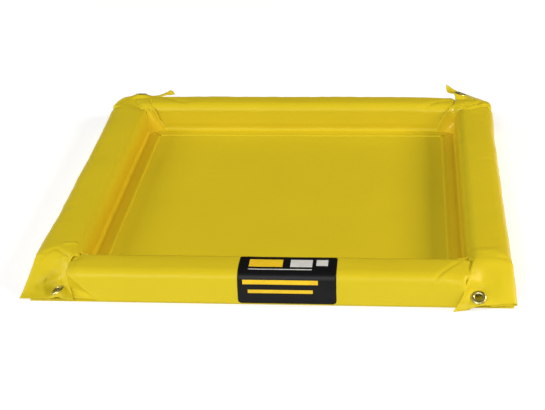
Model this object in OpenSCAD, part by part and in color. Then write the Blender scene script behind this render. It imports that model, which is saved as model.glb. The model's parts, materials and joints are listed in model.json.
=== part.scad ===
// Foam-wall spill containment berm: a square coated-fabric tray with four
// foam bars in welded sleeves, folded corners and four grommeted corner flaps.
// Millimetres. Origin on the underside at the middle of the base sheet.
// +X is to the right, +Y to the back, +Z up. The label is on the front wall (-Y).

/* [Tray] */
// Outside width and depth of the base sheet
tray_w = 750; // [600:10:1500]
// Width of a wall, from its inner foot to its outer foot
wall_w = 70; // [50:1:110]
// Height of a wall's top above the ground
wall_h = 53; // [30:1:110]
// Rounding of a wall's two top edges
crest_r = 16; // [4:1:20]
// Thickness of the coated fabric
fabric_t = 1; // [0.6:0.1:2]
// Width of the strip that welds a sleeve to the base sheet
weld_w = 28; // [15:1:45]

/* [Foam bars] */
// Clearance between a foam bar and the inside of its sleeve
bar_gap = 0.2; // [0.1:0.1:2]
// Clearance between a sleeve's end and the inner corner
end_gap = 2; // [1:0.5:6]
// How far the back corners' folded cover lies below the wall's top
cover_drop = 8; // [4:1:20]

/* [Corner flaps] */
// Thickness of a flap, two layers of fabric
flap_t = 2; // [1:0.1:4]
// Height of the hinge line above the wall's top
hinge_up = 1.3; // [1.2:0.1:4]
// Length of the hinge line
hinge_w = 68; // [50:1:90]
// How steeply the front left flap hangs, in degrees
front_left_drop = 40; // [0:1:40]
// How steeply the front right flap hangs, in degrees
front_right_drop = 30.5; // [0:0.5:30.5]
// How much a back flap rises, in degrees
back_rise = 0; // [0:1:60]
// How much the back right flap's tip curls up, in degrees
tip_curl = 33; // [0:1:60]

/* [Grommets] */
// Radius of the hole
bore_r = 5.5; // [3:0.1:8]
// Radius of the rolled flange
flange_r = 12; // [8:0.5:16]
// Height of the rolled flange
flange_h = 2; // [1:0.1:3]
// Wall of the barrel
barrel_t = 1.2; // [0.8:0.1:2]

/* [Label] */
// Left edge of the label, from the middle of the front wall
label_x = -46; // [-150:1:50]
// Width of the label
label_w = 152; // [60:1:250]
// Thickness of the label
label_t = 0.6; // [0.3:0.1:1]

/* [Hidden] */
$fn = 64;
half = tray_w / 2;
foot = half - wall_w;
end_x = foot - end_gap;
seam = foot - weld_w;
hinge_z = wall_h + hinge_up;
flap_x = foot + 2;
skin = fabric_t;
lip = 0.8;
yellow = [0.87, 0.78, 0.12];
foam = [0.93, 0.92, 0.86];
brass = [0.78, 0.70, 0.42];
black = [0.05, 0.05, 0.055];

// Flap outlines: u runs outwards along the hinge line, v away from it.
// Grommet centres are in the same frame, and tilts tip a grommet about u, then v.
front_left_outline = [[0, 0], [hinge_w, 0], [84, 79], [1, 80]];
front_right_outline = [[0, 0], [hinge_w, 0], [72, 80], [22, 98], [-23, 98], [0.5, 84.5]];
back_left_outline = [[0, 0], [hinge_w, 0], [72, 74], [-31, 90]];
back_right_outline = [[0, 0], [hinge_w, 0], [72, 74], [-2, 88], [-2, 6]];
curled_tip = [[0, 7], [0, 88], [-21, 92]];
front_left_eye = [26.7, 70];
front_right_eye = [14.1, 76.6];
back_left_eye = [21.7, 58];
back_right_eye = [9.8, 62.8];
flat_eye = [0, 0];
front_left_eye_tilt = [34, 34];
back_left_eye_tilt = [-20, 0];
back_right_eye_tilt = [-10.7, 16.7];

// ---------- profiles across a wall: s from the inner foot outwards, then height ----------

// Solid outline with two rounded top corners, inset by g on the sides and top
module wall_outline(g, bottom) {
    r = crest_r - g;
    top = wall_h - g;
    translate([g, bottom])
        square([wall_w - 2 * g, top - r - bottom]);
    translate([g + r, bottom])
        square([wall_w - 2 * g - 2 * r, top - bottom]);
    translate([g + r, top - r])
        circle(r);
    translate([wall_w - g - r, top - r])
        circle(r);
}

module sleeve_profile() {
    difference() {
        wall_outline(0, skin);
        wall_outline(skin, 0);
    }
}

module label_profile() {
    difference() {
        wall_outline(-label_t, 2);
        wall_outline(0, 0);
        translate([-2, 0])
            square([6, wall_h + 4]);
    }
}

// Runs a profile along X between two ends, as the back wall's position
module along_back(x0, x1) {
    translate([x0, foot, 0])
        rotate([90, 0, 90])
            linear_extrude(x1 - x0)
                children();
}

// ---------- walls, all drawn at the back and turned into place ----------

module sleeve() {
    color(yellow)
        along_back(-end_x, end_x)
            sleeve_profile();
}

module weld_strip(length) {
    color(yellow)
        translate([-length / 2, seam, skin])
            cube([length, weld_w + skin / 2, skin]);
}

module foam_bar() {
    color(foam)
        along_back(-end_x + 0.5, end_x - 0.5)
            wall_outline(skin + bar_gap, skin);
}

module floor_sheet() {
    color(yellow)
        translate([-half, -half, 0])
            cube([tray_w, tray_w, skin]);
}

module front_wall_sleeve() {
    mirror([0, 1, 0]) {
        sleeve();
        weld_strip(2 * seam);
    }
}

module back_wall_sleeve() {
    sleeve();
    weld_strip(2 * seam);
}

module left_wall_sleeve() {
    rotate([0, 0, 90]) {
        sleeve();
        weld_strip(2 * end_x);
    }
}

module right_wall_sleeve() {
    rotate([0, 0, -90]) {
        sleeve();
        weld_strip(2 * end_x);
    }
}

module front_foam_bar() {
    mirror([0, 1, 0])
        foam_bar();
}

module back_foam_bar() {
    foam_bar();
}

module left_foam_bar() {
    rotate([0, 0, 90])
        foam_bar();
}

module right_foam_bar() {
    rotate([0, 0, -90])
        foam_bar();
}

// ---------- corner gussets, drawn in the +X +Y corner ----------

module gusset(covered) {
    a = end_x + 0.2;
    high = wall_h - skin;
    reach = (a - seam) * sqrt(2);
    color(yellow) {
        // end plate of the wall along X
        translate([a, a, skin])
            cube([skin, half - a, high - skin]);
        // end plate of the wall along Y
        translate([a, a, skin])
            cube([half - a, skin, high - skin]);
        // upright pleat across the inner corner
        translate([seam, seam, 0])
            rotate([90, 0, 45])
                translate([0, 0, -skin])
                    linear_extrude(2 * skin)
                        polygon([[0, 2 * skin], [reach + 0.8, 2 * skin], [reach + 0.8, high]]);
        if (covered)
            translate([a, a, high - cover_drop])
                cube([half - a, half - a, skin]);
    }
}

module back_right_gusset() {
    gusset(true);
}

module back_left_gusset() {
    mirror([1, 0, 0])
        gusset(true);
}

module front_right_gusset() {
    mirror([0, 1, 0])
        gusset(false);
}

module front_left_gusset() {
    rotate([0, 0, 180])
        gusset(false);
}

// ---------- corner flaps, grommets and washers ----------

// Puts a flap's own frame on its hinge line, sloping up by rise degrees
module at_hinge(rise) {
    translate([flap_x, foot, hinge_z])
        rotate([rise, 0, 0])
            children();
}

// Puts a grommet's own frame in its flap, tipped about X and then Y
module at_eye(eye, tilt) {
    translate([eye[0], eye[1], 0])
        rotate([tilt[0], tilt[1], 0])
            children();
}

module flat_plate(outline) {
    translate([0, 0, -flap_t / 2])
        linear_extrude(flap_t)
            polygon(outline);
}

// A flap whose cloth is puckered round its grommet when the grommet is tipped
module flap(outline, eye, tilt) {
    color(yellow)
        difference() {
            union() {
                difference() {
                    union() {
                        flat_plate(outline);
                        children();
                    }
                    if (tilt != flat_eye)
                        at_eye(eye, tilt)
                            cylinder(h = 40, r = flange_r + 0.8, center = true);
                }
                if (tilt != flat_eye)
                    at_eye(eye, tilt)
                        cylinder(h = flap_t, r = flange_r + 2.4, center = true);
            }
            at_eye(eye, tilt)
                cylinder(h = 4 * flap_t, r = bore_r + barrel_t + 0.1, center = true);
        }
}

module grommet(eye, tilt) {
    top = flap_t / 2;
    chord = (flange_r - bore_r) / 2;
    arc_r = (chord * chord + flange_h * flange_h) / (2 * flange_h);
    color(brass)
        at_eye(eye, tilt)
            rotate_extrude($fn = 96) {
                intersection() {
                    translate([bore_r + chord, top + flange_h - arc_r])
                        circle(arc_r);
                    translate([bore_r, top])
                        square([2 * chord, flange_h + 1]);
                }
                translate([bore_r, -top - 2 * lip])
                    square([barrel_t, 2 * top + 2 * lip + flange_h / 2]);
                translate([bore_r, -top - 2 * lip])
                    square([2.6, lip]);
            }
}

module washer(eye, tilt) {
    color(brass)
        at_eye(eye, tilt)
            translate([0, 0, -flap_t / 2 - lip])
                difference() {
                    cylinder(h = lip, r = flange_r - 0.5);
                    translate([0, 0, -1])
                        cylinder(h = 3, r = bore_r + barrel_t + 0.1);
                }
}

module at_front_right() {
    mirror([0, 1, 0])
        at_hinge(-front_right_drop)
            children();
}

module at_front_left() {
    mirror([0, 1, 0])
        mirror([1, 0, 0])
            at_hinge(-front_left_drop)
                children();
}

module at_back_right() {
    at_hinge(back_rise)
        children();
}

module at_back_left() {
    mirror([1, 0, 0])
        at_hinge(back_rise)
            children();
}

module front_left_flap() {
    at_front_left()
        flap(front_left_outline, front_left_eye, front_left_eye_tilt);
}

module front_right_flap() {
    at_front_right()
        flap(front_right_outline, front_right_eye, flat_eye);
}

module back_left_flap() {
    at_back_left()
        flap(back_left_outline, back_left_eye, back_left_eye_tilt);
}

module back_right_flap() {
    at_back_right()
        flap(back_right_outline, back_right_eye, back_right_eye_tilt)
            rotate([0, tip_curl, 0])
                flat_plate(curled_tip);
}

module front_left_grommet() {
    at_front_left()
        grommet(front_left_eye, front_left_eye_tilt);
}

module front_right_grommet() {
    at_front_right()
        grommet(front_right_eye, flat_eye);
}

module back_left_grommet() {
    at_back_left()
        grommet(back_left_eye, back_left_eye_tilt);
}

module back_right_grommet() {
    at_back_right()
        grommet(back_right_eye, back_right_eye_tilt);
}

module front_left_washer() {
    at_front_left()
        washer(front_left_eye, front_left_eye_tilt);
}

module front_right_washer() {
    at_front_right()
        washer(front_right_eye, flat_eye);
}

module back_left_washer() {
    at_back_left()
        washer(back_left_eye, back_left_eye_tilt);
}

module back_right_washer() {
    at_back_right()
        washer(back_right_eye, back_right_eye_tilt);
}

// ---------- label over the top and front of the front wall ----------

module front_label() {
    color(black)
        mirror([0, 1, 0])
            along_back(label_x, label_x + label_w)
                label_profile();
}

floor_sheet();
front_wall_sleeve();
back_wall_sleeve();
left_wall_sleeve();
right_wall_sleeve();
front_foam_bar();
back_foam_bar();
left_foam_bar();
right_foam_bar();
front_left_gusset();
front_right_gusset();
back_left_gusset();
back_right_gusset();
front_left_flap();
front_right_flap();
back_left_flap();
back_right_flap();
front_left_grommet();
front_right_grommet();
back_left_grommet();
back_right_grommet();
front_left_washer();
front_right_washer();
back_left_washer();
back_right_washer();
front_label();
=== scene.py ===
"""Foam-wall spill containment berm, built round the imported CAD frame.

Shapes are worked out in millimetres and written in metres. +Z is up and the
label is on the -Y side. Beside a wall, s is the distance outwards from the
wall's inner foot. Beside a corner, q is the same distance from the front or the
back wall's inner foot, whichever meets the side wall there.
"""

import json
import math

import bmesh
import bpy
import numpy as np
from mathutils import Matrix, Vector


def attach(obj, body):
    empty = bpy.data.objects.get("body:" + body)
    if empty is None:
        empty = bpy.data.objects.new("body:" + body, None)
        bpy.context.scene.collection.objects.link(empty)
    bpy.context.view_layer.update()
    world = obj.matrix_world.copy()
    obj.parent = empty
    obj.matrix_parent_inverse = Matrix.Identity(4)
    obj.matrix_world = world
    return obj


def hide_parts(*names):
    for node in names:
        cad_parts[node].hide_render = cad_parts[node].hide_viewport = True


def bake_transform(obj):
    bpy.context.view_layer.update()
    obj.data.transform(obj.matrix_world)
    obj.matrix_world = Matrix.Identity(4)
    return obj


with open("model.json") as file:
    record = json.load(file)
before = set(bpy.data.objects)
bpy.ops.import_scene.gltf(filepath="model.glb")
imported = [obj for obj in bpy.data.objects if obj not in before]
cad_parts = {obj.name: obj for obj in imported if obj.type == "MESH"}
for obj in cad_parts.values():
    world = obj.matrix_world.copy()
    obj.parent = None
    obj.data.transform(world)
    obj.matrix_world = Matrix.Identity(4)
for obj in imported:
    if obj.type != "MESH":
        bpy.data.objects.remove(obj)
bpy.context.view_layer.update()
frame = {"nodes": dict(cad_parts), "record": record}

MM = 0.001
FOOT = 305.0  # inner foot of every wall, from the middle
WALL = 70.0  # thickness of every wall
MIDDLE = WALL / 2  # of a wall, from its inner foot
HALF = FOOT + WALL  # outer foot
END = 303.0  # where the front and back sleeves end
BAR_END = 296.0  # where a foam bar ends
SEAM = 28.0  # width of the welded strip at a wall's inner foot
SEAM_LINE = FOOT - SEAM
CLOTH = 0.9  # thickness of the fabric
FILM = 0.5  # thickness of the label
GROUND = 0.9  # lowest height of an ear's outer face
FLANGE = 12.5  # radius of the flat place under a grommet's flange
HOLE = 8.6  # radius of the hole left for a grommet


# ---------------------------------------------------------------- small maths


def smooth(t):
    t = np.clip(t, 0.0, 1.0)
    return t * t * (3 - 2 * t)


def bump(x, middle, width):
    """A smooth hill, 1 at the middle and 0 beyond width on either side."""
    return smooth(1 - np.abs((x - middle) / width))


def through(knots, points, where):
    """Smooth curve through points at the given knots, read at where."""
    t, p, w = (np.asarray(a, float) for a in (knots, points, where))
    h = np.diff(t)
    tall = (-1,) + (1,) * (p.ndim - 1)
    d = np.diff(p, axis=0) / h.reshape(tall)
    m = np.empty_like(p)
    m[0], m[-1] = d[0], d[-1]
    weight = (h[1:] / (h[1:] + h[:-1])).reshape(tall)
    m[1:-1] = d[:-1] * weight + d[1:] * (1 - weight)
    i = np.clip(np.searchsorted(t, w, side="right") - 1, 0, len(t) - 2)
    hh = h[i].reshape(tall)
    f = ((w - t[i]) / h[i]).reshape(tall)
    a, b = p[i], p[i + 1]
    return (
        a * (1 + 2 * f) * (1 - f) ** 2
        + m[i] * hh * f * (1 - f) ** 2
        + b * f * f * (3 - 2 * f)
        + m[i + 1] * hh * f * f * (f - 1)
    )


def lengths(points):
    """Running length along a line of points."""
    d = np.linalg.norm(np.diff(np.asarray(points, float), axis=0), axis=1)
    return np.concatenate([[0], np.cumsum(d)])


def ripple(x, y, seed, size, octaves=3):
    """Smooth random waves from -1 to 1 or so, about size across, the same every run."""
    rng = np.random.RandomState(seed)
    total = np.zeros(np.broadcast(x, y).shape)
    for octave in range(octaves):
        for _ in range(5):
            turn = rng.uniform(0, 2 * math.pi)
            shift = rng.uniform(0, 2 * math.pi)
            f = 2 * math.pi / (size / 1.7**octave) * rng.uniform(0.7, 1.3)
            total += np.sin((x * math.cos(turn) + y * math.sin(turn)) * f + shift) / (
                2.2 * 1.8**octave
            )
    return total / 2.0


def grid_normals(p):
    du = np.gradient(p, axis=0)
    dv = np.gradient(p, axis=1)
    n = np.cross(du, dv)
    return n / np.maximum(np.linalg.norm(n, axis=2, keepdims=True), 1e-9)


# ------------------------------------------------------------------- meshes


def link(name, vertices, faces, material):
    """A smooth-shaded object from points in millimetres."""
    mesh = bpy.data.meshes.new(name)
    mesh.from_pydata([tuple(v) for v in np.asarray(vertices) * MM], [], faces)
    mesh.validate()
    mesh.materials.append(material)
    mesh.polygons.foreach_set("use_smooth", [True] * len(mesh.polygons))
    mesh.update()
    obj = bpy.data.objects.new(name, mesh)
    bpy.context.scene.collection.objects.link(obj)
    return obj


def grid_faces(rows, cols, start=0, flip=False, keep=None):
    faces = []
    for i in range(rows - 1):
        for j in range(cols - 1):
            if keep is not None and not keep[i, j]:
                continue
            a = start + i * cols + j
            quad = (a, a + 1, a + cols + 1, a + cols)
            faces.append(quad[::-1] if flip else quad)
    return faces


def apply_all(obj):
    """Replaces an object's mesh with what its modifiers make of it."""
    deps = bpy.context.evaluated_depsgraph_get()
    made = bpy.data.meshes.new_from_object(obj.evaluated_get(deps))
    obj.modifiers.clear()
    obj.data = made
    return obj


def thicken(obj, thickness):
    """Gives a sheet its thickness, behind its faces."""
    m = obj.modifiers.new("cloth", "SOLIDIFY")
    m.thickness = thickness * MM
    m.offset = -1.0
    return apply_all(obj)


def needs_flip(grid, way=(0.0, 0.0, 1.0)):
    """Whether grid_faces has to turn a grid over to face the given way in its middle."""
    # grid_faces' own normals are the opposite of grid_normals'
    rows, cols = grid.shape[:2]
    return bool(grid_normals(grid)[rows // 2, cols // 2] @ np.array(way) > 0)


def cloth_grids(name, grids, material, flips, keeps=None):
    """One thickened mesh from several grids of points."""
    vertices, faces = [], []
    for g, flip, keep in zip(grids, flips, keeps or [None] * len(grids)):
        faces += grid_faces(*g.shape[:2], start=len(vertices), flip=flip, keep=keep)
        vertices += list(g.reshape(-1, 3))
    obj = link(name, vertices, faces, material)
    loose_vertices_off(obj)
    thicken(obj, CLOTH)
    for v in obj.data.vertices:
        v.co.z = max(v.co.z, 0.0)
    return obj


def loose_vertices_off(obj):
    """Removes the points that no face uses."""
    mesh = obj.data
    used = np.zeros(len(mesh.vertices), bool)
    loops = np.zeros(len(mesh.loops), np.int32)
    mesh.loops.foreach_get("vertex_index", loops)
    used[loops] = True
    if used.all():
        return
    bm = bmesh.new()
    bm.from_mesh(mesh)
    bm.verts.ensure_lookup_table()
    bmesh.ops.delete(
        bm, geom=[bm.verts[i] for i in np.flatnonzero(~used)], context="VERTS"
    )
    bm.to_mesh(mesh)
    bm.free()


# ---------------------------------------------------------------- materials


class Nodes:
    """A short way to write a material's nodes."""

    def __init__(self, name):
        self.material = bpy.data.materials.new(name)
        self.material.use_nodes = True
        self.tree = self.material.node_tree
        self.shader = self.tree.nodes["Principled BSDF"]

    def add(self, kind, inputs=None, **settings):
        node = self.tree.nodes.new(kind)
        for key, value in settings.items():
            setattr(node, key, value)
        for key, value in (inputs or {}).items():
            if isinstance(value, bpy.types.NodeSocket):
                self.tree.links.new(value, node.inputs[key])
            else:
                node.inputs[key].default_value = value
        return node

    @property
    def place(self):
        """Position on the object, from one node for the whole material."""
        if "place" not in self.tree.nodes:
            self.add("ShaderNodeTexCoord", name="place")
        return self.tree.nodes["place"].outputs["Object"]

    def noise(self, scale, detail, **more):
        inputs = {"Vector": self.place, "Scale": scale, "Detail": detail, **more}
        return self.add("ShaderNodeTexNoise", inputs).outputs["Fac"]

    def ramp(self, factor, low, high, start=0.0, stop=1.0):
        """Colour low up to start, high from stop."""
        node = self.add("ShaderNodeValToRGB", {"Fac": factor})
        first, last = node.color_ramp.elements
        first.position, last.position = start, stop
        first.color, last.color = (*low, 1), (*high, 1)
        return node.outputs["Color"]

    def bump(self, height, strength, distance, **under):
        inputs = {"Height": height, "Strength": strength, "Distance": distance, **under}
        return self.add("ShaderNodeBump", inputs).outputs["Normal"]

    def math(self, operation, *values):
        node = self.add("ShaderNodeMath", dict(enumerate(values)), operation=operation)
        return node.outputs[0]

    def map_range(self, value, start, stop, low, high, interpolation="SMOOTHSTEP"):
        names = ("Value", "From Min", "From Max", "To Min", "To Max")
        inputs = dict(zip(names, (value, start, stop, low, high)))
        node = self.add("ShaderNodeMapRange", inputs, interpolation_type=interpolation)
        return node.outputs["Result"]

    def set(self, **inputs):
        for key, value in inputs.items():
            socket = self.shader.inputs[key.replace("_", " ")]
            if isinstance(value, bpy.types.NodeSocket):
                self.tree.links.new(value, socket)
            else:
                socket.default_value = value


YARN = 0.0013  # metres between the scrim's yarns
# painted shade: a deeper, warmer yellow standing in for the shade and bounced light at the
# walls' inner feet
PAINTED_SHADE_TONE = (0.66, 0.405, 0.012, 1)
PAINTED_SHADE_SHARES = (0.42, 0.08)  # of that tone: along the side walls, along the others


def vinyl(name, colour, deep, coat=0.03, coat_roughness=0.22):
    """Coated fabric: satin skin, the weave showing faintly through it, slow mottling, and
    painted shade along the inner foot of each wall.
    """
    n = Nodes(name)
    slow = n.noise(9.0, 4.0, Roughness=0.55)
    fine = n.noise(160.0, 3.0, Roughness=0.6)
    shade = n.ramp(slow, deep, colour, 0.3, 0.72)
    # the yarns of the scrim, crossing at right angles
    place = n.add("ShaderNodeSeparateXYZ", {"Vector": n.place}).outputs
    turns = [n.math("MULTIPLY", place[axis], 2 * math.pi / YARN) for axis in "XYZ"]
    yarns = [n.math("SINE", turn) for turn in turns]
    weave = n.math("ADD", n.math("ADD", yarns[0], yarns[1]), yarns[2])
    weave_bump = n.bump(weave, 0.05, 0.0002)
    skin_bump = n.bump(fine, 0.10, 0.0006, Normal=weave_bump)
    slack = n.noise(22.0, 2.0, Distortion=0.6)
    slack_bump = n.bump(slack, 0.16, 0.004, Normal=skin_bump)
    # painted shade and bounced light: a deeper, warmer yellow along the inner foot of each
    # wall, most along the side walls
    away = [n.math("ABSOLUTE", place[axis]) for axis in "XY"]
    near = [n.map_range(a, 0.268, 0.292, 0.0, most) for a, most in zip(away, PAINTED_SHADE_SHARES)]
    inside = n.map_range(n.math("MAXIMUM", *away), 0.318, 0.308, 0.0, 1.0)
    low = n.map_range(place["Z"], 0.052, 0.016, 0.0, 1.0)
    painted_shade = n.math("MULTIPLY", n.math("MAXIMUM", *near), n.math("MULTIPLY", inside, low))
    painted_shade_colour = n.add(
        "ShaderNodeMix", {"Factor": painted_shade, 6: shade, 7: PAINTED_SHADE_TONE}, data_type="RGBA"
    ).outputs[2]
    n.set(
        Base_Color=painted_shade_colour,
        Roughness=n.map_range(fine, 0.3, 0.7, 0.37, 0.48, "LINEAR"),
        Normal=slack_bump,
        Specular_IOR_Level=0.16,
        Specular_Tint=(1.0, 0.92, 0.55, 1.0),
        Coat_Weight=coat,
        Coat_Roughness=coat_roughness,
    )
    return n.material


def metal(name, colour, dark):
    """Plated brass with handling marks and a little tarnish."""
    n = Nodes(name)
    stain = n.noise(240.0, 4.0)
    scratch = n.noise(900.0, 2.0)
    n.set(
        Base_Color=n.ramp(stain, dark, colour, 0.35, 0.6),
        Roughness=n.map_range(stain, 0.0, 1.0, 0.50, 0.34, "LINEAR"),
        Normal=n.bump(scratch, 0.12, 0.0002),
        Metallic=1.0,
    )
    return n.material


def printed(name, colour, roughness=0.32):
    """Printed vinyl film: nearly even colour, with a faint orange-peel surface."""
    n = Nodes(name)
    peel = n.noise(350.0, 2.0)
    wear = n.noise(60.0, 6.0)
    worn = tuple(c * 0.88 + 0.002 for c in colour)
    n.set(
        Base_Color=n.ramp(wear, worn, colour, 0.35, 0.65),
        Roughness=roughness,
        Normal=n.bump(peel, 0.06, 0.0003),
        Specular_IOR_Level=0.16,
    )
    return n.material


def foam_material():
    """Pale open-cell foam."""
    n = Nodes("open_cell_foam")
    inputs = {"Vector": n.place, "Scale": 700.0}
    cells = n.add("ShaderNodeTexVoronoi", inputs).outputs["Distance"]
    n.set(
        Base_Color=n.ramp(cells, (0.80, 0.78, 0.69), (0.88, 0.87, 0.80)),
        Roughness=0.95,
        Normal=n.bump(cells, 0.5, 0.0008),
        Specular_IOR_Level=0.15,
    )
    return n.material


TONES = (0.608, 0.474, 0.015), (0.588, 0.458, 0.014)
YELLOW = vinyl("coated_fabric", *TONES)
# the same fabric, shinier where it is pulled tight over a fold
FOLDED = vinyl("folded_fabric", *TONES, coat=0.45, coat_roughness=0.14)
BRASS = metal("grommet_brass", (0.66, 0.60, 0.26), (0.32, 0.28, 0.09))
BLACK = printed("label_black", (0.004, 0.004, 0.005), 0.42)
LABEL_YELLOW = printed("label_yellow", (0.80, 0.52, 0.02))
LABEL_WHITE = printed("label_white", (0.62, 0.62, 0.60))
FOAM = foam_material()

# ------------------------------------------------------------- wall sections

# Outline of a sleeve across its wall, from the weld line to the outer bottom edge
SECTION = np.array(
    [
        [-SEAM, 1.3],
        [-24.5, 2.8],
        [-20.0, 2.0],
        [-9.0, 2.0],
        [-2.5, 2.2],
        [-0.4, 4.6],
        [0.0, 18.0],
        [0.2, 34.0],
        [1.6, 42.0],
        [6.5, 49.2],
        [14.0, 52.6],
        [24.0, 53.6],
        [35.0, 53.9],
        [46.0, 53.6],
        [56.0, 52.8],
        [63.8, 49.4],
        [68.6, 42.0],
        [70.0, 34.0],
        [70.4, 18.0],
        [70.2, 6.0],
        [70.6, 1.0],
    ]
)
ACROSS = lengths(SECTION)
FLOOR_LAST = 4  # the section's last point on the floor
FACE_LAST = 8  # its last point on the inner face
INNER_EDGE, OUTER_EDGE = 9, 15  # its two crests
INNER_CREST, OUTER_CREST = ACROSS[INNER_EDGE], ACROSS[OUTER_EDGE]
TOP_FIRST, TOP_LAST = 10, 14  # its flat top


def across_places(count):
    """Places to sample across the section, closer together round its bends."""
    bends = (ACROSS[FLOOR_LAST] + 1, ACROSS[FACE_LAST], INNER_CREST + 2, OUTER_CREST)
    fine = np.linspace(0, ACROSS[-1], 2000)
    density = np.full_like(fine, 1.0)
    for b in bends:
        density += 1.6 * np.exp(-(((fine - b) / 7.0) ** 2))
    total = np.concatenate([[0], np.cumsum(density[:-1])])
    return np.interp(np.linspace(0, total[-1], count), total, fine)


ACROSS_COUNT = 96
ACROSS_AT = across_places(ACROSS_COUNT)
ON_FABRIC = smooth((ACROSS_AT - ACROSS[FLOOR_LAST]) / 20.0)  # 0 on the floor strip
OFF_GROUND = ON_FABRIC * smooth((ACROSS[-1] - ACROSS_AT) / 12.0)
ON_STRIP = ACROSS_AT < ACROSS[FLOOR_LAST] + 1.0


def slack(along, seed, outer=1.0):
    """How far the sleeve stands off its smooth shape: rows along, columns across."""
    a = np.asarray(along)[:, None]
    c = ACROSS_AT[None, :]
    slow = 0.5 * ripple(a, c * 0.6, seed, 170.0)
    rng = np.random.RandomState(seed + 50)
    folds = np.zeros((len(along), ACROSS_COUNT))
    lo, hi = float(np.min(along)), float(np.max(along))
    at = lo + 14
    while at < hi - 8:
        deep = rng.uniform(0.25, 0.95) * outer
        width = rng.uniform(7.0, 15.0)
        lean = rng.uniform(-0.25, 0.25)
        reach = rng.uniform(26.0, 46.0)
        middle = OUTER_CREST + rng.uniform(-12, 10)
        line = at + lean * (c - middle)
        folds -= deep * np.exp(-(((a - line) / width) ** 2)) * bump(c, middle, reach)
        at += rng.uniform(19.0, 38.0)
    at = lo + 25
    while at < hi - 15:
        deep = rng.uniform(0.15, 0.5)
        width = rng.uniform(9.0, 17.0)
        line = at + rng.uniform(-0.2, 0.2) * (c - INNER_CREST)
        folds -= deep * np.exp(-(((a - line) / width) ** 2)) * bump(c, INNER_CREST, 24.0)
        at += rng.uniform(34.0, 70.0)
    return (slow + folds) * OFF_GROUND[None, :]


# ----------------------------------------------------- front and back walls

# rows along a sleeve, closer together near its ends
ROWS_X = np.concatenate(
    [
        np.linspace(-END, -END + 60, 40)[:-1],
        np.linspace(-END + 60, END - 60, 150)[:-1],
        np.linspace(END - 60, END, 40),
    ]
)


def wall_along_x(front):
    """Sleeve of the front or back wall: rows along X, columns across."""
    side = -1.0 if front else 1.0
    rows = ROWS_X
    sec = through(ACROSS, SECTION, ACROSS_AT)
    s = np.tile(sec[:, 0], (len(rows), 1))
    z = np.tile(sec[:, 1], (len(rows), 1))
    t = rows[:, None] / END
    mitre = np.where(s < 0, s, 0.0)
    x = t * (END + mitre * (END - FOOT + SEAM) / SEAM)
    x = x + tuck(front, rows[:, None], s) * ON_FABRIC[None, :]
    off = slack(rows, 11 if front else 23, outer=0.55)
    flat = 1 - 0.7 * bump(rows[:, None], 30, 120) if front else 1.0
    p = np.stack([x, side * (FOOT + s), z], axis=2)
    n = grid_normals(p)
    up = n[:, ACROSS_COUNT // 2, 2].mean()
    n = n if up > 0 else -n
    p = p + n * (off * flat)[:, :, None]
    s2, z2 = sag(front, p[:, :, 0], side * p[:, :, 1] - FOOT, p[:, :, 2])
    p[:, :, 1] = side * (FOOT + s2)
    p[:, :, 2] = z2
    return round_ends(p, rows)


def tuck(front, x, s):
    """How much further the sleeve of the front or back wall reaches in under the ears."""
    if front:
        left, right = 13.0, 18 * (1 - smooth((s - 37) / 28))
    else:
        left = right = 10 * (1 - smooth((s - 40) / 25))
    return right * smooth((x - END + 45) / 45) - left * smooth((45 - END - x) / 45)


def soft(t, width):
    """0 below zero, then rising at 45 degrees after a bend about width wide."""
    t = np.clip(t, 0, None)
    return np.where(t < width, t * t / (2 * width), t - width / 2)


def groove(x, s, start, end, width):
    """A hollow along a line on top of a wall, 1 at its middle."""
    a, b = np.array(start, float), np.array(end, float)
    length = np.linalg.norm(b - a)
    u = (b - a) / length
    along = (x - a[0]) * u[0] + (s - a[1]) * u[1]
    off = (x - a[0]) * u[1] - (s - a[1]) * u[0]
    ends = smooth(along / 12) * smooth((length - along) / 12)
    return np.exp(-((off / width) ** 2)) * ends


# creases on top of the back wall: depth, start and end as (x, s), and width
BACK_CREASES = (
    (1.7, (238, -4), (275, 34), 6),
    (1.4, (268, 30), (303, 42), 5),
    (1.6, (-286, 58), (-226, 14), 6),
)


def sag(front, x, s, z):
    """Slumped ends and creases of the front and back walls."""
    left, right = x + END, END - x
    high = smooth((z - 18) / 30)
    tucked = 1.8 * smooth((np.abs(x) - 299) / 8) * smooth((z - 30) / 15)
    if not front:
        sink = 3.0 * np.exp(-((right / 70.0) ** 2))
        for depth, start, end, width in BACK_CREASES:
            sink = sink + depth * groove(x, s, start, end, width)
        # it leans back a little
        leant = s + 4.5 * smooth((z - 4) / 34) * (1 - smooth((s - 10) / 30))
        return leant, z - sink * high - tucked - 0.03 * (s - 22) * high
    # left end: everything below a slanting line is pushed back
    line = -8 + 45.0 * np.clip((48 - z) / 46.0, 0, 1)
    push = 21.0 * (1 - np.exp(-soft(line - left, 2.0) / 17.0)) * smooth((s - 26) / 26)
    push = push * (left < 70) * (0.3 + 0.7 * smooth(z / 14))
    dip = 6.0 * np.exp(-(((left + 6) / 10.0) ** 2) - ((s - 18) / 9.0) ** 2) * high
    # right end: the top leans to the front beyond a slanting crease
    past = 0.78 * (s - 8) - right
    lean = 0.15 * soft(past, 8.0) * high
    fold = 2.3 * np.exp(-(((past + 1) / 3.4) ** 2)) * high * smooth((s - 14) / 14)
    return s - push, z - dip - lean - fold - tucked


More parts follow.
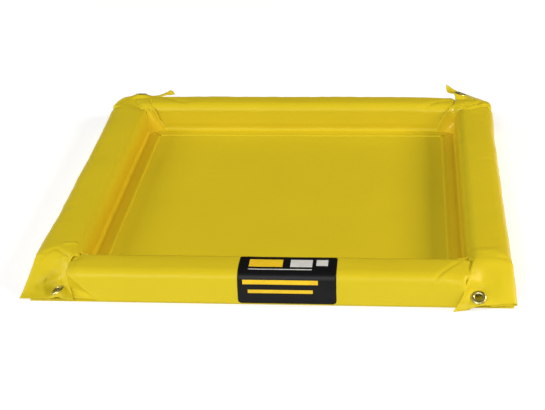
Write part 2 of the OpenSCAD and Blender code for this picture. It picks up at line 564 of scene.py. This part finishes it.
def round_ends(p, rows):
    """Rounds and closes both ends of a sleeve."""
    middle = p.copy()
    d = np.minimum(rows - rows[0], rows[-1] - rows)[:, None]
    inset = 4.5 * (1 - np.sqrt(np.clip(1 - (1 - np.clip(d / 8.0, 0, 1)) ** 2, 0, 1)))
    side = np.sign(middle[:, :, 1])
    s = np.abs(middle[:, :, 1]) - FOOT
    inside = (ON_FABRIC[None, :] > 0.02).astype(float)
    s2 = s + np.sign(MIDDLE - s) * inset * inside * (np.abs(MIDDLE - s) > 20)
    z2 = middle[:, :, 2] - inset * smooth((middle[:, :, 2] - 28) / 14)
    middle[:, :, 1] = side * (FOOT + s2)
    middle[:, :, 2] = z2
    caps = []
    for end in (0, -1):
        ring = middle[end]
        core = np.array([ring[:, 0].mean(), ring[:, 1].mean(), 18.0])
        core[1] = math.copysign(FOOT + MIDDLE, ring[0, 1])
        out = -1.0 if end == 0 else 1.0
        steps = []
        for share, push in ((0.12, 0.9), (0.45, 1.3), (0.8, 1.4), (0.97, 1.4)):
            row = ring * (1 - share) + core * share
            row[:, 0] += out * push
            row[ON_STRIP] = ring[ON_STRIP]
            row[:, 2] = np.maximum(row[:, 2], 1.1)
            steps.append(row)
        caps.append(steps)
    return np.concatenate([np.array(caps[0])[::-1], middle, np.array(caps[1])])


# ------------------------------------------------------ corner ears

# A ridge row is q and the heights along the top of the wall there. Each of the rows
# after them crosses the ear: its inner free edge and its outer edge as (s, q, z), how
# far the five places between them are lifted, and the space between the ear's two
# layers at the inner and the outer edge. flat is how far from the grommet's middle
# the ear still follows its flange. A mark is a crease's start, end, depth and width.
EARS = {
    "front_right": {
        "flat": 24.0,
        "ridge": [
            (-30, (52.6, 53.6, 53.9, 53.6, 52.8)),
            (-15, (52.8, 54.1, 54.6, 54.3, 53.0)),
            (-5, (52.6, 53.2, 53.0, 53.1, 52.4)),
            (1, (52.8, 53.2, 52.4, 52.0, 50.6)),
        ],
        "rows": [
            ((8, 12, 53.4), (70.8, 9, 45.5), (0.0, 0.2, 0.8, 1.4, 1.6), (7, 9)),
            ((7, 25, 53.4), (71.8, 20, 36.5), (-0.4, -2.2, -1.8, 0.6, 2.2), (3.6, 6)),
            ((3.5, 43, 50.0), (73.0, 33, 26), (-1.0, -4.6, -3.2, 1.2, 3.2), (3.8, 5)),
            ((-1, 61, 41.4), (74.0, 46, 16.5), (-2.2, -7.8, -4.6, 1.6, 3.8), (3.2, 4.5)),
            ((-6.5, 72, 27), (74.6, 56, 9.2), (-1.6, -5.8, -2.2, 2.4, 3.6), (1.9, 4.5)),
            ((-14, 76.5, 11.5), (74.9, 61.5, 5.4), (0, 0.6, 2.4, 4.2, 3.8), (1.8, 4.5)),
            ((-21, 84, 1.9), (75.2, 64, 4.6), (0.2, 0.6, 1.6, 3.4, 1.8), (1.6, 4.5)),
        ],
        "marks": [
            ((-2, -18), (70, -8), -0.5, 7.0),
            ((10, 6), (40, 1), 0.5, 3.0),
            ((40, 1), (74, 9), 0.6, 3.0),
        ],
    },
    "front_left": {
        "flat": 17.0,
        "ridge": [
            (-30, (52.6, 53.6, 53.9, 53.6, 52.8)),
            (-15, (53.2, 54.2, 54.2, 53.6, 52.6)),
            (-5, (53.0, 53.9, 53.8, 53.2, 52.0)),
            (1, (52.6, 53.2, 52.8, 52.2, 50.4)),
        ],
        "rows": [
            ((9, 10, 51.6), (71.6, 8, 46), (0.2, 0.0, 0.0, 0.8, 1.2), (6, 8)),
            ((13, 22, 44.5), (76, 20, 36), (-0.6, -4.2, -1.8, 1.0, 1.4), (2.4, 5)),
            ((11.5, 34, 37), (79.6, 34, 24), (-1.6, -6.6, -3.2, 1.2, 1.6), (2, 4)),
            ((10, 45, 27.5), (84.3, 47, 12.5), (-2.4, -7.4, -3.4, 0.6, 1.4), (1.9, 3.4)),
            ((9.5, 52.5, 17.5), (87, 57, 5.6), (-1.8, -5.2, -1.6, 0.4, 0.8), (1.8, 2.8)),
            ((4.7, 59.5, 9), (88, 62, 3.4), (0.2, 1.0, 0.6, 0.6, 0.6), (1.8, 2.4)),
            ((0, 69, 2.2), (88.4, 65.5, 2.2), (0.2, 0.9, 1.2, 1.0, 0.5), (1.5, 1.8)),
        ],
        "marks": [
            ((66, 53), (28, 25), 2.6, 4.0),
            ((46, 48), (20, 26), 2.2, 3.6),
            ((44, -11), (14, 19), 2.4, 3.0),
            ((72, 18), (39, -8), 1.6, 3.6),
            ((36, -17), (2, -27), -1.8, 4.5),
        ],
    },
    "back_right": {
        "flat": 20.0,
        "ridge": [
            (-34, (52.6, 53.6, 53.9, 53.6, 52.8)),
            (-18, (51.8, 53.8, 54.6, 53.8, 52.6)),
            (-7, (50.2, 52.6, 54.2, 54.4, 52.2)),
            (1, (48.8, 51.8, 53.8, 54.6, 52.0)),
        ],
        "rows": [
            ((-5, 10, 50.6), (70.6, 8, 47.6), (0.6, 1.6, 2.6, 3.4, 3.2), (5, 9)),
            ((0, 26, 53.0), (70.5, 25, 48.5), (0.4, 1.4, 2.6, 4.0, 3.2), (2.0, 6)),
            ((2, 42, 51.8), (66, 42, 46), (0.6, 2.4, 3.6, 3.6, 2.2), (1.9, 4)),
            ((-2.2, 56, 53.6), (62, 57, 41.5), (1.2, 4.2, 2.8, 1.6, 0.8), (1.9, 3)),
            ((-7.6, 69, 55.7), (58, 70, 39), (0.8, 2.4, 1.8, 1.2, 0.8), (1.9, 3)),
            ((-13, 79, 55.2), (54, 79, 37), (4.6, 2.8, 2.0, 1.2, 0.6), (1.8, 2.4)),
            ((-15.3, 90, 65.4), (51, 84, 35.5), (-0.8, -3.2, -2.4, -0.8, 0.0), (1.5, 2.0)),
        ],
        "marks": [
            ((12, -16), (64, 22), -2.8, 3.6),
            ((10, -8), (58, 34), 2.0, 2.2),
            ((22, -20), (68, 12), 2.0, 2.2),
        ],
    },
    "back_left": {
        "flat": 20.0,
        "ridge": [
            (-34, (52.6, 53.6, 53.9, 53.6, 52.8)),
            (-18, (51.8, 53.6, 54.0, 53.8, 52.8)),
            (-7, (50.2, 52.4, 53.6, 53.8, 52.4)),
            (1, (48.6, 51.4, 53.2, 53.8, 52.2)),
        ],
        "rows": [
            ((-6, 9, 50.4), (73, 9, 49.8), (0.6, 1.4, 2.4, 2.8, 1.8), (5, 9)),
            ((-2, 27, 53.2), (72.5, 25, 49), (0.4, 1.0, 2.2, 3.0, 2.2), (2.0, 6)),
            ((-4, 45, 53.6), (67, 43, 49.5), (0.2, 1.4, 2.4, 3.2, 1.8), (1.9, 4)),
            ((-13, 60, 50.8), (61, 57, 49), (0.4, 1.8, 2.8, 3.0, 1.4), (1.9, 3)),
            ((-27, 74, 49.0), (56, 69, 45), (2.0, -1.0, 0.0, 1.4, 0.8), (1.9, 3)),
            ((-37, 83, 47.4), (51, 76, 41), (6.4, 0.0, -2.0, -0.6, 0.2), (1.8, 2.4)),
            ((-39.4, 88, 46.1), (49, 79, 40), (8.5, 1.2, -2.4, -1.2, -0.2), (1.5, 2.0)),
        ],
        "marks": [
            ((1, -16), (40, 46), 2.0, 2.2),
            ((74, 14), (44, 48), 2.0, 2.6),
            ((46, 2), (50, 36), -1.0, 5.0),
        ],
    },
}
# how far the outer side of a side wall bulges: at its middle, then at this corner
BULGE = {
    "front_right": (0.4, 0.8),
    "front_left": (3.5, 6.5),
    "back_right": (0.4, 3.5),
    "back_left": (3.5, 6.5),
}


def crease(p, start, end, depth, width):
    """A groove along a line in (s, q); a ridge when its depth is negative."""
    a, b = np.array(start, float), np.array(end, float)
    length = np.linalg.norm(b - a)
    u = (b - a) / length
    d = p[..., :2] - a
    along = d @ u
    off = d[..., 0] * u[1] - d[..., 1] * u[0]
    ends = smooth(along / 9.0) * smooth((length - along) / 9.0)
    return -depth * np.exp(-((off / width) ** 2)) * ends


def ear_row(inner, outer, hump, gap):
    """One row of control points round an ear: under, inner edge, top, outer edge, under."""
    a, b = np.array(inner, float), np.array(outer, float)
    up = np.cross(b - a, np.array([0.0, 1.0, -0.25]))
    up /= np.linalg.norm(up)
    if up[2] < 0:
        up = -up

    def at(share, lift):
        return a + (b - a) * share + up * lift

    def hump_at(share):
        return float(np.interp(share, [0, 0.07, 0.28, 0.5, 0.72, 0.93, 1], [0, *hump, 0]))

    g0, g1 = gap
    under = [0.52, 0.46, 0.40, 0.33, 0.26, 0.19, 0.12, 0.06]
    row = [at(share, hump_at(share) - g0) for share in under]
    row += [
        at(0.015, hump_at(0.015) - g0 * 0.9),
        at(0.0, -g0 * 0.5),
        at(0.05, hump_at(0.05)),
        at(0.28, hump[1]),
        at(0.50, hump[2]),
        at(0.72, hump[3]),
        at(0.95, hump_at(0.95)),
        at(1.0, -g1 * 0.5),
        at(0.97, hump_at(0.97) - g1),
        at(0.90, hump_at(0.90) - g1),
        at(0.80, hump_at(0.80) - g1 * 0.95),
        at(0.68, hump_at(0.68) - g1 * 0.85),
        at(0.56, hump_at(0.56) - g1 * 0.8),
    ]
    return np.array(row)


def wall_row(q, top=None):
    """One row of control points round a wall, with the given heights along its top."""
    row = np.zeros((len(SECTION), 3))
    row[:, 0] = SECTION[:, 0]
    row[:, 1] = q
    row[:, 2] = SECTION[:, 1]
    if top is not None:
        row[TOP_FIRST : TOP_LAST + 1, 2] = top
        row[INNER_EDGE, 2] += (top[0] - SECTION[TOP_FIRST, 1]) * 0.8
        row[OUTER_EDGE, 2] += (top[-1] - SECTION[TOP_LAST, 1]) * 0.8
    strip = row[:, 0] < 0
    row[strip, 1] = (FOOT + q) * (1 + row[strip, 0] / FOOT) - FOOT
    return row


def signs(corner):
    """The signs of X and Y at a named corner."""
    return (
        1.0 if corner.endswith("right") else -1.0,
        1.0 if corner.startswith("back") else -1.0,
    )


def corner_to_world(corner, p):
    """(s, q, z) beside a named corner to the frame."""
    out = np.array(p, float)
    sx, sy = signs(corner)
    out[..., 0] = sx * (FOOT + p[..., 0])
    out[..., 1] = sy * (FOOT + p[..., 1])
    return out


def grommet_of(corner):
    """Centre and axis of a corner's grommet in (s, q, z), from its mount."""
    mounts = frame["record"]["mounts"]
    mount = next(m for m in mounts if m["name"] == corner + "_eye")
    sx, sy = signs(corner)
    x, y, z = np.array(mount["pos_m"]) / MM
    n = np.array([sx, sy, 1.0]) * mount["axis"]
    return np.array([abs(x) - FOOT, abs(y) - FOOT, z]) + 0.3 * n, n


def from_axis(points, centre, n):
    """How far points lie along an axis, and how far away from it."""
    d = points - centre
    height = d @ n
    return height, np.linalg.norm(d - height[..., None] * n, axis=-1)


def press(points, centre, n, offset, inner, outer):
    """Brings the points near a grommet onto its plane, offset along its axis."""
    height, radius = from_axis(points, centre, n)
    w = smooth((outer - radius) / (outer - inner)) * (np.abs(height) < 16)
    return points + ((offset - height) * w)[..., None] * n


def cloth_rows(ear):
    """Control rows along a side cloth, how far along each is, and where the ear starts."""
    rows = [wall_row(q) for q in (-FOOT - 3, -250, -200, -150, -100, -70, -48)]
    rows += [wall_row(q, top) for q, top in ear["ridge"]]
    straight = len(rows)
    rows += [ear_row(*r) for r in ear["rows"]]
    knots = [-3.0]
    for a, b in zip(rows[:-1], rows[1:]):
        step = np.linalg.norm((b - a)[TOP_FIRST : TOP_LAST + 1], axis=1)
        knots.append(knots[-1] + float(step.mean()))
    return np.array(rows), knots, knots[straight - 1]


def side_cloth(corner):
    """Half of a side wall's sleeve and the ear at its end, as one cloth."""
    ear = EARS[corner]
    rows, knots, bend = cloth_rows(ear)
    along = np.concatenate(
        [
            [-3.0, -1.5],
            np.linspace(0, bend - 36, 84)[:-1],
            np.linspace(bend - 36, bend + 30, 50)[:-1],
            np.linspace(bend + 30, knots[-1], 50),
        ]
    )
    control = through(knots, rows, along)
    p = through(ACROSS, control.transpose(1, 0, 2), ACROSS_AT).transpose(1, 0, 2)
    middle, end = BULGE[corner]
    out = middle + (end - middle) * smooth((along - 170) / 120)
    out = out * smooth((bend + 16 - along) / 24)
    p[:, :, 0] += out[:, None] * smooth((ACROSS_AT - OUTER_CREST + 12) / 22)[None, :]
    n = grid_normals(p)
    n = n * np.sign(n[:, ACROSS_COUNT // 2, 2].mean())
    seed = 31 if corner.endswith("right") else 47
    wall = slack_half(along, seed, signs(corner)[1])
    fade = smooth((bend + 6 - along) / 40)[:, None]
    # a little unevenness in the ear itself, and its creases
    ear_wave = 0.35 * ripple(p[:, :, 0], p[:, :, 1], seed + 7, 46.0, 2)
    ear_wave *= smooth((along - bend) / 20)[:, None]
    half_top = (OUTER_CREST - INNER_CREST) / 2
    on_top = bump(ACROSS_AT, INNER_CREST + half_top, half_top + 6)
    marks = sum(crease(p, *m) for m in ear["marks"]) * smooth(on_top * 2.5)[None, :]
    under = -0.06 * smooth(-along / 3.0)[:, None]
    p = p + n * (wall * fade + ear_wave + marks + under)[:, :, None]
    # flat round the grommet, with a hole under its flange
    centre, axis = grommet_of(corner)
    on_ear = along > bend + 6
    top_cols = (ACROSS_AT >= INNER_CREST) & (ACROSS_AT < OUTER_CREST)
    for cols, offset in ((top_cols, 1.0), (~top_cols, -0.1)):
        patch = np.ix_(on_ear, cols)
        p[patch] = press(p[patch], centre, axis, offset, FLANGE, ear["flat"])
    ear_rows = along > bend + 20
    p[ear_rows, :, 2] = np.maximum(p[ear_rows, :, 2], GROUND)
    mid = (p[:-1, :-1] + p[1:, 1:]) / 2
    height, radius = from_axis(mid, centre, axis)
    keep = ~((radius < HOLE) & (np.abs(height) < 5) & on_ear[:-1, None])
    past = along[:-1] > bend - 2.5
    keep &= ~(past[:, None] & ON_STRIP[None, 1:])
    return p, keep


def slack_half(along, seed, sign):
    """Slack of half a side wall, which meets the other half's at the middle."""
    at = np.linspace(-FOOT, FOOT, 260)
    full = slack(at, seed)
    y = sign * np.minimum(along, FOOT)
    out = np.empty((len(along), ACROSS_COUNT))
    for j in range(ACROSS_COUNT):
        out[:, j] = np.interp(y, at, full[:, j])
    return out


# ------------------------------------------------------------ inner pleats

# Rows up an inner pleat: where it leaves the side wall's face, where it ends along
# the front or back wall's face, both from the corner, its height, and the width
# of its flat part beside that end.
PLEATS = {
    "back_left": [
        (22, 36, 0.9, 7),
        (20, 32.5, 5, 7),
        (19, 30.5, 11, 8),
        (16, 23.5, 23, 9),
        (11, 17.5, 38, 12),
        (7.5, 13.5, 45.5, 13),
    ],
    "back_right": [
        (20, 38, 0.9, 17),
        (18, 36, 5, 18),
        (16, 34, 11, 20),
        (13, 29, 23, 26),
        (6, 22, 37, 26),
        (4, 16, 45.5, 20),
    ],
}
PLEATS["front_left"] = PLEATS["front_right"] = PLEATS["back_left"]
# the same rows over the top, as (s, q) of the two edges
PLEAT_TOPS = {
    "back_left": [
        ((6, -9), (-11, 3)),
        ((11, -5), (-9, 9)),
        ((17, 4), (-3, 17)),
        ((26, 21), (1, 27)),
        ((34, 36), (4, 38)),
    ],
    "back_right": [
        ((6, -8), (-14, 4)),
        ((11, -4), (-10, 10)),
        ((17, 4), (-2, 18)),
        ((26, 18), (3, 27)),
        ((32, 30), (6, 36)),
    ],
    "front_left": [((3, -6), (-11, 3))],
    "front_right": [((3, -6), (-11, 3))],
}


# how far such a row lies above what is under it, at shares of the way across
PLEAT_LIFT = ((0, -2.4), (0.02, 0.2), (0.3, 1.0), (0.6, 1.0), (0.88, 0.3), (1, -1.4))


def top_height(cloth, s, q):
    """Height of the top of a side cloth, or of the wall round the corner, at (s, q)."""
    top = (ACROSS_AT > ACROSS[FACE_LAST]) & (ACROSS_AT < OUTER_CREST)
    points = cloth[:, top].reshape(-1, 3)
    d = (points[:, 0] - s) ** 2 + (points[:, 1] - q) ** 2
    near = np.argsort(d)[:6]
    w = 1 / (d[near] + 0.05)
    z = float((points[near, 2] * w).sum() / w.sum())
    if d[near[0]] > 9.0:
        z = 0.0
    if q > 0 and s < 14:
        face = SECTION[FLOOR_LAST + 2 : TOP_LAST]
        z = max(z, float(np.interp(q, face[:, 0], face[:, 1])) - 1.8)
    return z


def pleat_grid(corner, cloth):
    """The fabric gathered across an inside corner, from the floor over the crest."""
    control = []
    for b, a, z, flat in PLEATS[corner]:
        turn = max(a - flat, 2.0)
        # (s, q, z): along the wall's face, then across the corner to the side wall
        control.append(
            [
                (-a, 0.8, z),
                (-a + 0.3, -1.7, z),
                (-(a + turn) / 2, -2.6, z),
                (-turn, -4.0, z),
                (-turn * 0.45, -(b * 0.5 + 2.4), z),
                (0.9, -b, z),
            ]
        )
    for ends in PLEAT_TOPS[corner]:
        left, right = np.array(ends, float)
        row = []
        for share, lift in PLEAT_LIFT:
            s, q = right + (left - right) * share
            row.append((s, q, top_height(cloth, s, q) + lift))
        control.append(row)
    control = np.array(control, float)
    knots = lengths(control[:, 2])
    along = through(knots, control, np.linspace(0, knots[-1], 60))
    across = np.array([0, 2.2, 8.0, 14.0, 22.0, 30.0])
    p = through(across, along.transpose(1, 0, 2), np.linspace(0, across[-1], 30))
    p = p.transpose(1, 0, 2)
    wave = 0.5 * ripple(p[:, :, 0], p[:, :, 2] + p[:, :, 1], 91, 30.0, 2)
    p = p + wave[:, :, None] * np.array([-0.3, -0.3, 0.2])
    return corner_to_world(corner, p)


def end_cap(corner):
    """Cloth over the end of a side wall's foam bar."""
    edge = np.linspace(0, 1, 24)
    b, a = np.meshgrid(edge, edge, indexing="ij")
    s = 3.0 + 64.0 * a
    z = 1.6 + 49.2 * b - 5.0 * b * (2 * a - 1) ** 4
    q = -1.2 + 1.6 * np.sin(math.pi * a) * np.sin(math.pi * b)
    return corner_to_world(corner, np.stack([s, q, z], axis=2))


def web(corner):
    """The cloth tucked under an ear, from the bars' ends down to the base's corner."""
    edge = np.linspace(0, 1, 30)
    b, a = np.meshgrid(edge, edge, indexing="ij")
    far = np.maximum(a, b)
    ridge = np.exp(-(((a - b) / 0.16) ** 2)) * np.minimum(a, b) * 3.0
    high = 30.0 if corner.startswith("front") else 36.0
    z = 1.7 + high * (1 - far) ** 1.5 + ridge * (1 - far)
    s = 1.5 + 66.0 * a
    q = 1.0 + 66.0 * b
    return corner_to_world(corner, np.stack([s, q, z], axis=2))


# ------------------------------------------------------------- foam bars


def foam_bar(name, along_x, sign):
    """A rounded block of foam, a little inside its sleeve."""
    shape = SECTION[FLOOR_LAST + 1 :]
    s = MIDDLE + (shape[:, 0] - MIDDLE) * 0.94
    z = 1.6 + (shape[:, 1] - 1.6) * 0.925 - 0.3
    base_line = [[66.0, 1.6], [MIDDLE, 1.6], [4.0, 1.6]]
    sec = np.vstack([np.column_stack([s, z]), base_line])
    sec = np.vstack([sec, sec[:1]])
    knots = lengths(sec)
    ring = through(knots, sec, np.linspace(0, knots[-1], 65))[:-1]
    ring[:, 1] = np.clip(ring[:, 1], 1.5, None)
    near_end = np.linspace(BAR_END - 16, BAR_END, 9)
    at = np.concatenate([-near_end[::-1], np.linspace(-264, 264, 60), near_end])
    core = np.array([MIDDLE, 20.0])
    rings = []
    for v in at:
        d = np.clip((BAR_END - abs(v)) / 16.0, 0, 1)
        k = math.sqrt(max(0.0, 1 - (1 - d) ** 2)) * 0.16 + 0.84
        rings.append(np.column_stack([core + (ring - core) * k, np.full(len(ring), v)]))
    p = np.array(rings)
    s, z, v = p[..., 0], np.maximum(p[..., 1], 1.5), p[..., 2].copy()
    if along_x:
        s, z = sag(sign < 0, v * END / BAR_END, s, z)
        xyz = np.stack([v, sign * (FOOT + s), np.maximum(z, 1.5)], axis=2)
    else:
        xyz = np.stack([sign * (FOOT + s), v, z], axis=2)
    rows, cols = xyz.shape[:2]
    faces = []
    for i in range(rows - 1):
        for j in range(cols):
            k = (j + 1) % cols
            a = i * cols
            faces.append((a + j, a + k, a + cols + k, a + cols + j))
    vertices = list(xyz.reshape(-1, 3))
    for i, end in ((0, True), (rows - 1, False)):
        vertices.append(xyz[i].mean(axis=0))
        hub = len(vertices) - 1
        for j in range(cols):
            k = (j + 1) % cols
            tri = (i * cols + j, i * cols + k, hub)
            faces.append(tri[::-1] if end else tri)
    obj = link(name, vertices, faces, FOAM)
    fix_normals(obj)
    return obj


def fix_normals(obj):
    bm = bmesh.new()
    bm.from_mesh(obj.data)
    bmesh.ops.recalc_face_normals(bm, faces=bm.faces)
    bm.to_mesh(obj.data)
    bm.free()


# ------------------------------------------------------------------ floor


def floor_sheet():
    near = np.linspace(-HALF, HALF, 121)
    x, y = np.meshgrid(near, near, indexing="ij")
    wave = 0.55 + 0.45 * ripple(x, y, 5, 260.0, 2)
    inside = smooth((SEAM_LINE - np.maximum(np.abs(x), np.abs(y))) / 40)
    z = 1.0 + np.clip(wave, 0, 2) * inside * 1.1
    return np.stack([x, y, z], axis=2)


# ------------------------------------------------------------------ label

LABEL = (-46.0, 106.0)  # its two ends along the front wall
LABEL_ROUND = 5.0  # radius of its corners
# its printed blocks: start and end along the wall, start and end across it from the
# label's edge on top, and which of its materials (1 yellow, 2 white)
BLOCKS = (
    (-30, 22, 11, 34, 1),
    (34, 68, 11, 34, 2),
    (74, 92, 11, 30, 2),
    (-30, 68, 40, 42, 2),
    (-38, 78, 60, 67, 1),
    (-30, 70, 76, 82, 1),
)


def lines(start, stop, count, edges):
    """Evenly spaced grid lines, with one more at each edge of a printed block."""
    even = np.linspace(start, stop, count).round(3)
    return np.array(sorted(set(even) | set(map(float, edges))))


def between(grid, row, col):
    """A grid of points read at a place between its rows and columns."""
    i = min(int(row), grid.shape[0] - 2)
    j = min(int(col), grid.shape[1] - 2)
    fi, fj = row - i, col - j
    return (
        grid[i, j] * (1 - fi) * (1 - fj)
        + grid[i + 1, j] * fi * (1 - fj)
        + grid[i, j + 1] * (1 - fi) * fj
        + grid[i + 1, j + 1] * fi * fj
    )


def label_grid(surface, normals):
    """The label's own grid, lying on the front sleeve's outer surface."""
    start = ACROSS[TOP_FIRST] - 1.0
    reach = ACROSS[-1] - 1.5 - start
    xs = lines(*LABEL, 60, [x for block in BLOCKS for x in block[:2]])
    arcs = lines(0, reach, 58, [arc for block in BLOCKS for arc in block[2:4]])
    points = np.zeros((len(arcs), len(xs), 3))
    for i, arc in enumerate(arcs):
        past = max(0.0, LABEL_ROUND - min(arc, reach - arc))
        inset = LABEL_ROUND - math.sqrt(max(0.0, LABEL_ROUND**2 - past**2))
        col = float(np.interp(start + arc, ACROSS_AT, np.arange(ACROSS_COUNT)))
        for k, x in enumerate(xs):
            x = min(max(x, LABEL[0] + inset), LABEL[1] - inset)
            row = float(np.interp(x, ROWS_X, np.arange(len(ROWS_X))))
            points[i, k] = between(surface, row, col) + between(normals, row, col) * 0.35
            points[i, k, 0] = x
    return points, xs, arcs


def print_block(mesh, xs, arcs, x0, x1, a0, a1, index):
    """Prints one plain block on the label."""
    count = len(xs) - 1
    for poly in mesh.polygons:
        i, j = divmod(poly.index, count)
        x = (xs[j] + xs[j + 1]) / 2
        a = (arcs[i] + arcs[i + 1]) / 2
        if x0 < x < x1 and a0 < a < a1:
            poly.material_index = index


# ------------------------------------------------------------ build it all

front_grid = wall_along_x(True)
back_grid = wall_along_x(False)

# base sheet
base = floor_sheet()
base_obj = cloth_grids("base_sheet", [base], YELLOW, [needs_flip(base)])
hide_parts("floor_sheet")
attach(base_obj, "tray")

# front and back sleeves
for wall, grid in (("front", front_grid), ("back", back_grid)):
    obj = cloth_grids(f"{wall}_sleeve", [grid], YELLOW, [needs_flip(grid)])
    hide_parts(f"{wall}_wall_sleeve")
    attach(obj, "tray")

# side sleeves with their ears, one cloth to a corner
CLOTHS = {}
for corner in EARS:
    CLOTHS[corner], keep = side_cloth(corner)
    grid = corner_to_world(corner, CLOTHS[corner])
    obj = cloth_grids(
        f"{corner}_side_cloth", [grid], YELLOW, [needs_flip(grid)], keeps=[keep]
    )
    side = corner.split("_")[1]
    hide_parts(f"{side}_wall_sleeve", f"{corner}_flap")
    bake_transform(obj)

# gussets: pleat, bar's end and tucked web
for corner in EARS:
    grids = [pleat_grid(corner, CLOTHS[corner]), end_cap(corner), web(corner)]
    cap_way = (0.0, signs(corner)[1], 0.0)
    flips = [needs_flip(grids[0]), needs_flip(grids[1], cap_way), needs_flip(grids[2])]
    obj = cloth_grids(f"{corner}_fold", grids, FOLDED, flips)
    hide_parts(f"{corner}_gusset")
    if corner.startswith("back"):
        side = 1.0 if corner.endswith("right") else -1.0
        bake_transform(obj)
    else:
        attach(obj, "tray")

# foam bars
for name, along_x, sign in (
    ("front", True, -1.0),
    ("back", True, 1.0),
    ("left", False, -1.0),
    ("right", False, 1.0),
):
    bar = foam_bar(f"{name}_foam", along_x, sign)
    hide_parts(f"{name}_foam_bar")
    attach(bar, "tray")

# label
inner = front_grid[4:-4]
normals = grid_normals(inner)
normals *= np.sign(normals[len(inner) // 2, ACROSS_COUNT // 2, 2])
points, xs, arcs = label_grid(inner, normals)
# its first rows lie on top of the wall
flip = bool(grid_normals(points)[3, 5, 2] > 0)
label_mesh = link(
    "front_label_film",
    points.reshape(-1, 3),
    grid_faces(len(arcs), len(xs), flip=flip),
    BLACK,
)
label_mesh.data.materials.append(LABEL_YELLOW)
label_mesh.data.materials.append(LABEL_WHITE)
for block in BLOCKS:
    print_block(label_mesh.data, xs, arcs, *block)
thicken(label_mesh, FILM)
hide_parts("front_label")
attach(label_mesh, "tray")

# grommets and washers keep their CAD shape
for corner in EARS:
    for part in ("grommet", "washer"):
        node = frame["nodes"][f"{corner}_{part}"]
        node.data.materials.clear()
        node.data.materials.append(BRASS)

# ------------------------------------------------------- stage and camera


FLOOR_HALF = 30.0
FLOOR_Z = -0.0004  # just under the object
SENSOR = 36.0  # millimetres
LENS = 87.688  # millimetres
CAMERA_PLACE = (0.2085, -2.1311, 1.0395)
CAMERA_TURN = (-6.34, 26.17, -2.29)  # degrees: to the right, down, and rolled
# name, place, size, power and colour of the lights, which all point at the middle
LIGHTS = (
    ("key_right", (2.28, -9.5, 6.84), (3.0, 2.3), 475, (1, 1, 1)),
    ("key_left", (-3.42, -9.5, 6.08), (3.0, 2.3), 640, (1, 1, 1)),
    ("side_left", (-4.0, 0.0, 2.2), (1.5, 1.5), 88, (1, 1, 1)),
    ("side_right", (4.0, 0.0, 2.2), (1.5, 1.5), 165, (1.0, 0.91, 0.78)),
)


def stage():
    mesh = bpy.data.meshes.new("studio_floor")
    ends = ((-1, -1), (1, -1), (1, 1), (-1, 1))
    vertices = [(x * FLOOR_HALF, y * FLOOR_HALF, FLOOR_Z) for x, y in ends]
    mesh.from_pydata(vertices, [], [(0, 1, 2, 3)])
    obj = bpy.data.objects.new("studio_floor", mesh)
    bpy.context.scene.collection.objects.link(obj)
    n = Nodes("studio_floor")
    n.set(
        Base_Color=(0.55, 0.55, 0.55, 1),
        Roughness=0.9,
        Specular_IOR_Level=0.0,
        Emission_Color=(1, 1, 1, 1),
        Emission_Strength=0.55,
    )
    mesh.materials.append(n.material)


def area_light(name, place, size, power, colour):
    light = bpy.data.lights.new(name, "AREA")
    light.shape = "RECTANGLE"
    light.size, light.size_y = size
    light.energy = power
    light.color = colour
    obj = bpy.data.objects.new(name, light)
    bpy.context.scene.collection.objects.link(obj)
    obj.location = place
    obj.rotation_euler = (-Vector(place)).to_track_quat("-Z", "Y").to_euler()


def camera():
    yaw, pitch, roll = map(math.radians, CAMERA_TURN)
    level = Vector((math.sin(yaw), math.cos(yaw), 0))
    forward = level * math.cos(pitch) - Vector((0, 0, math.sin(pitch)))
    right = Vector((math.cos(yaw), -math.sin(yaw), 0))
    up = right.cross(forward)
    right, up = (
        math.cos(roll) * right + math.sin(roll) * up,
        -math.sin(roll) * right + math.cos(roll) * up,
    )
    data = bpy.data.cameras.new("camera")
    data.sensor_width = SENSOR
    data.lens = LENS
    data.clip_start = 0.01
    data.clip_end = 100.0
    obj = bpy.data.objects.new("camera", data)
    turn = Matrix((right, up, -forward)).transposed()
    obj.matrix_world = Matrix.Translation(CAMERA_PLACE) @ turn.to_4x4()
    bpy.context.scene.collection.objects.link(obj)
    bpy.context.scene.camera = obj


stage()
camera()
for light in LIGHTS:
    area_light(*light)

world = bpy.data.worlds.new("studio")
world.use_nodes = True
background = world.node_tree.nodes["Background"]
background.inputs["Color"].default_value = (1, 1, 1, 1)
background.inputs["Strength"].default_value = 0.03
bpy.context.scene.world = world
bpy.context.scene.view_settings.view_transform = "Standard"
bpy.context.scene.view_settings.look = "None"
